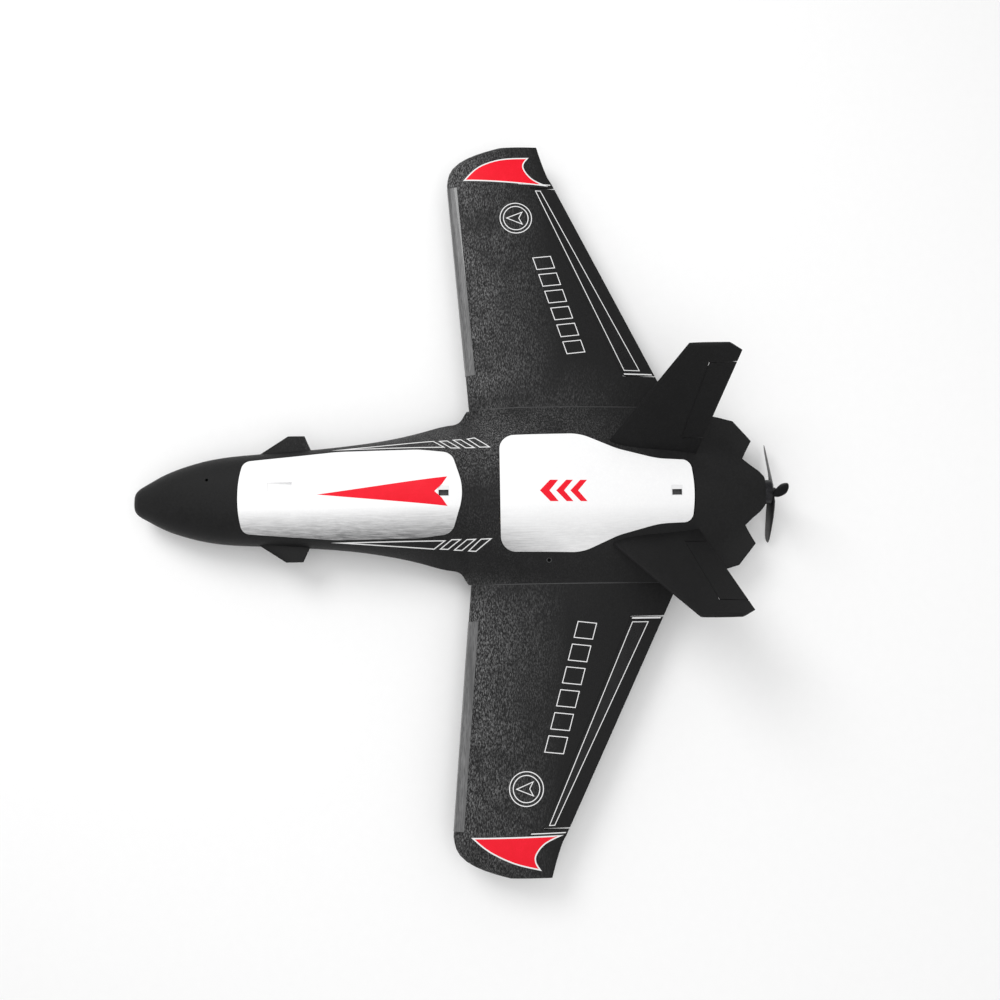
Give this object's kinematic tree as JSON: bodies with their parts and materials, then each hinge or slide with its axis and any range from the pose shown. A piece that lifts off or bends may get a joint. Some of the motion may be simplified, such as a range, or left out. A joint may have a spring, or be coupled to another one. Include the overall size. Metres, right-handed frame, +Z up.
{
  "type": "rc foam airplane",
  "caption": "Foam model aeroplane: pod fuselage with two lift-off hatches blended into a swept wing, nose canards, canted V tail with ruddervators, pusher propeller.",
  "frame": {"origin": "centre of the whole aeroplane's box, on the surface that the belly skid stands on", "axes": "+Z up, nose towards -Y, tail towards +Y, left wing towards +X"},
  "size_m": [1.255, 1.1071, 0.241],
  "materials": {
    "black_foam": "matte",
    "white_foam": "matte",
    "fin_foam": "matte",
    "gloss_trim": "gloss",
    "black_plastic": "satin",
    "carbon": "satin",
    "nylon": "satin",
    "steel": "satin",
    "magnet": "polished",
    "plywood": "satin",
    "motor_black": "satin",
    "copper": "satin",
    "shrink_wrap": "gloss",
    "webbing": "matte",
    "heat_sink": "satin",
    "red_wire": "satin",
    "skid": "satin"
  },
  "bodies": {
    "airframe": {"aileron_servo_left": "black_plastic", "aileron_servo_right": "black_plastic", "antenna_grommet": "black_plastic", "battery": "shrink_wrap", "battery_strap": "webbing", "battery_tray": "plywood", "belly_skid": "skid", "canard_left": "black_foam", "canard_right": "black_foam", "fin_left": "fin_foam", "fin_right": "fin_foam", "fin_spar_left": "carbon", "fin_spar_right": "carbon", "fuselage_lower": "black_foam", "fuselage_upper": "black_foam", "hatch_keeper_magnets": "magnet", "leading_edge_guard_left": "gloss_trim", "leading_edge_guard_right": "gloss_trim", "main_spar": "carbon", "motor_mount": "plywood", "motor_screws": "steel", "motor_stator": "copper", "power_leads": "red_wire", "rear_spar": "carbon", "receiver": "black_plastic", "ruddervator_servo_left": "black_plastic", "ruddervator_servo_right": "black_plastic", "spar_sleeve": "black_plastic", "speed_controller": "heat_sink", "wing_left": "black_foam", "wing_right": "black_foam", "wing_root_rib_left": "black_plastic", "wing_root_rib_right": "black_plastic"},
    "aileron_left": {"aileron_left": "black_foam", "aileron_horn_left": "black_plastic"},
    "aileron_servo_arm_left": {"aileron_servo_arm_left": "black_plastic"},
    "aileron_pushrod_left": {"aileron_pushrod_left": "steel"},
    "aileron_right": {"aileron_right": "black_foam", "aileron_horn_right": "black_plastic"},
    "aileron_servo_arm_right": {"aileron_servo_arm_right": "black_plastic"},
    "aileron_pushrod_right": {"aileron_pushrod_right": "steel"},
    "ruddervator_left": {"ruddervator_left": "fin_foam", "ruddervator_horn_left": "black_plastic"},
    "ruddervator_servo_arm_left": {"ruddervator_servo_arm_left": "black_plastic"},
    "ruddervator_pushrod_left": {"ruddervator_pushrod_left": "steel"},
    "ruddervator_right": {"ruddervator_right": "fin_foam", "ruddervator_horn_right": "black_plastic"},
    "ruddervator_servo_arm_right": {"ruddervator_servo_arm_right": "black_plastic"},
    "ruddervator_pushrod_right": {"ruddervator_pushrod_right": "steel"},
    "front_hatch": {"front_finger_pull": "black_plastic", "front_hatch": "white_foam", "front_hatch_magnets": "magnet", "front_hatch_tongues": "plywood"},
    "rear_hatch": {"rear_finger_pull": "black_plastic", "rear_hatch": "white_foam", "rear_hatch_magnets": "magnet", "rear_hatch_tongues": "plywood"},
    "rotor": {"motor_bell": "motor_black", "prop_adapter": "motor_black", "propeller": "nylon"}
  },
  "joints": [
    {"name": "aileron_left_hinge", "type": "hinge", "parent": "airframe", "child": "aileron_left", "pos_m": [0.372, 0.2164, 0.06659], "axis": [0.9131, -0.4076, 0.0127], "range_deg": [-25, 25]},
    {"name": "aileron_left_servo_arm", "type": "hinge", "parent": "airframe", "child": "aileron_servo_arm_left", "pos_m": [0.35337, 0.17434, 0.05624], "axis": [0.9131, -0.4076, 0.0127], "range_deg": [-28, 28]},
    {"name": "aileron_left_pushrod", "type": "hinge", "parent": "aileron_servo_arm_left", "child": "aileron_pushrod_left", "pos_m": [0.35363, 0.17423, 0.03424], "axis": [0.9131, -0.4076, 0.0127], "range_deg": [-28, 28]},
    {"name": "aileron_right_hinge", "type": "hinge", "parent": "airframe", "child": "aileron_right", "pos_m": [-0.372, 0.2164, 0.06659], "axis": [0.9131, 0.4076, -0.0127], "range_deg": [-25, 25]},
    {"name": "aileron_right_servo_arm", "type": "hinge", "parent": "airframe", "child": "aileron_servo_arm_right", "pos_m": [-0.35337, 0.17434, 0.05624], "axis": [0.9131, 0.4076, -0.0127], "range_deg": [-28, 28]},
    {"name": "aileron_right_pushrod", "type": "hinge", "parent": "aileron_servo_arm_right", "child": "aileron_pushrod_right", "pos_m": [-0.35363, 0.17423, 0.03424], "axis": [0.9131, 0.4076, -0.0127], "range_deg": [-28, 28]},
    {"name": "ruddervator_left_hinge", "type": "hinge", "parent": "airframe", "child": "ruddervator_left", "pos_m": [0.1217, 0.38847, 0.14655], "axis": [0.6721, 0.2035, 0.7119], "range_deg": [-25, 25]},
    {"name": "ruddervator_left_servo_arm", "type": "hinge", "parent": "airframe", "child": "ruddervator_servo_arm_left", "pos_m": [0.13094, 0.3532, 0.14791], "axis": [0.6721, 0.2035, 0.7119], "range_deg": [-28, 28]},
    {"name": "ruddervator_left_pushrod", "type": "hinge", "parent": "ruddervator_servo_arm_left", "child": "ruddervator_pushrod_left", "pos_m": [0.14185, 0.35316, 0.13762], "axis": [0.6721, 0.2035, 0.7119], "range_deg": [-28, 28]},
    {"name": "ruddervator_right_hinge", "type": "hinge", "parent": "airframe", "child": "ruddervator_right", "pos_m": [-0.1217, 0.38847, 0.14655], "axis": [0.6721, -0.2035, -0.7119], "range_deg": [-25, 25]},
    {"name": "ruddervator_right_servo_arm", "type": "hinge", "parent": "airframe", "child": "ruddervator_servo_arm_right", "pos_m": [-0.13094, 0.3532, 0.14791], "axis": [0.6721, -0.2035, -0.7119], "range_deg": [-28, 28]},
    {"name": "ruddervator_right_pushrod", "type": "hinge", "parent": "ruddervator_servo_arm_right", "child": "ruddervator_pushrod_right", "pos_m": [-0.14185, 0.35316, 0.13762], "axis": [0.6721, -0.2035, -0.7119], "range_deg": [-28, 28]},
    {"name": "front_hatch_lift", "type": "hinge", "parent": "airframe", "child": "front_hatch", "pos_m": [0, -0.3665, 0.114], "axis": [1, 0, 0], "range_deg": [0, 70]},
    {"name": "rear_hatch_lift", "type": "hinge", "parent": "airframe", "child": "rear_hatch", "pos_m": [0, 0.073, 0.1315], "axis": [1, 0, 0], "range_deg": [0, 70]},
    {"name": "propeller_spin", "type": "hinge", "parent": "airframe", "child": "rotor", "pos_m": [0, 0.5395, 0.062], "axis": [0, 1, 0], "continuous": true}
  ],
  "couplings": [
    {"joint": "aileron_left_servo_arm", "follows": "aileron_left_hinge", "ratio": 1},
    {"joint": "aileron_left_pushrod", "follows": "aileron_left_hinge", "ratio": -1},
    {"joint": "aileron_right_servo_arm", "follows": "aileron_right_hinge", "ratio": 1},
    {"joint": "aileron_right_pushrod", "follows": "aileron_right_hinge", "ratio": -1},
    {"joint": "ruddervator_left_servo_arm", "follows": "ruddervator_left_hinge", "ratio": 1},
    {"joint": "ruddervator_left_pushrod", "follows": "ruddervator_left_hinge", "ratio": -1},
    {"joint": "ruddervator_right_servo_arm", "follows": "ruddervator_right_hinge", "ratio": 1},
    {"joint": "ruddervator_right_pushrod", "follows": "ruddervator_right_hinge", "ratio": -1}
  ]
}
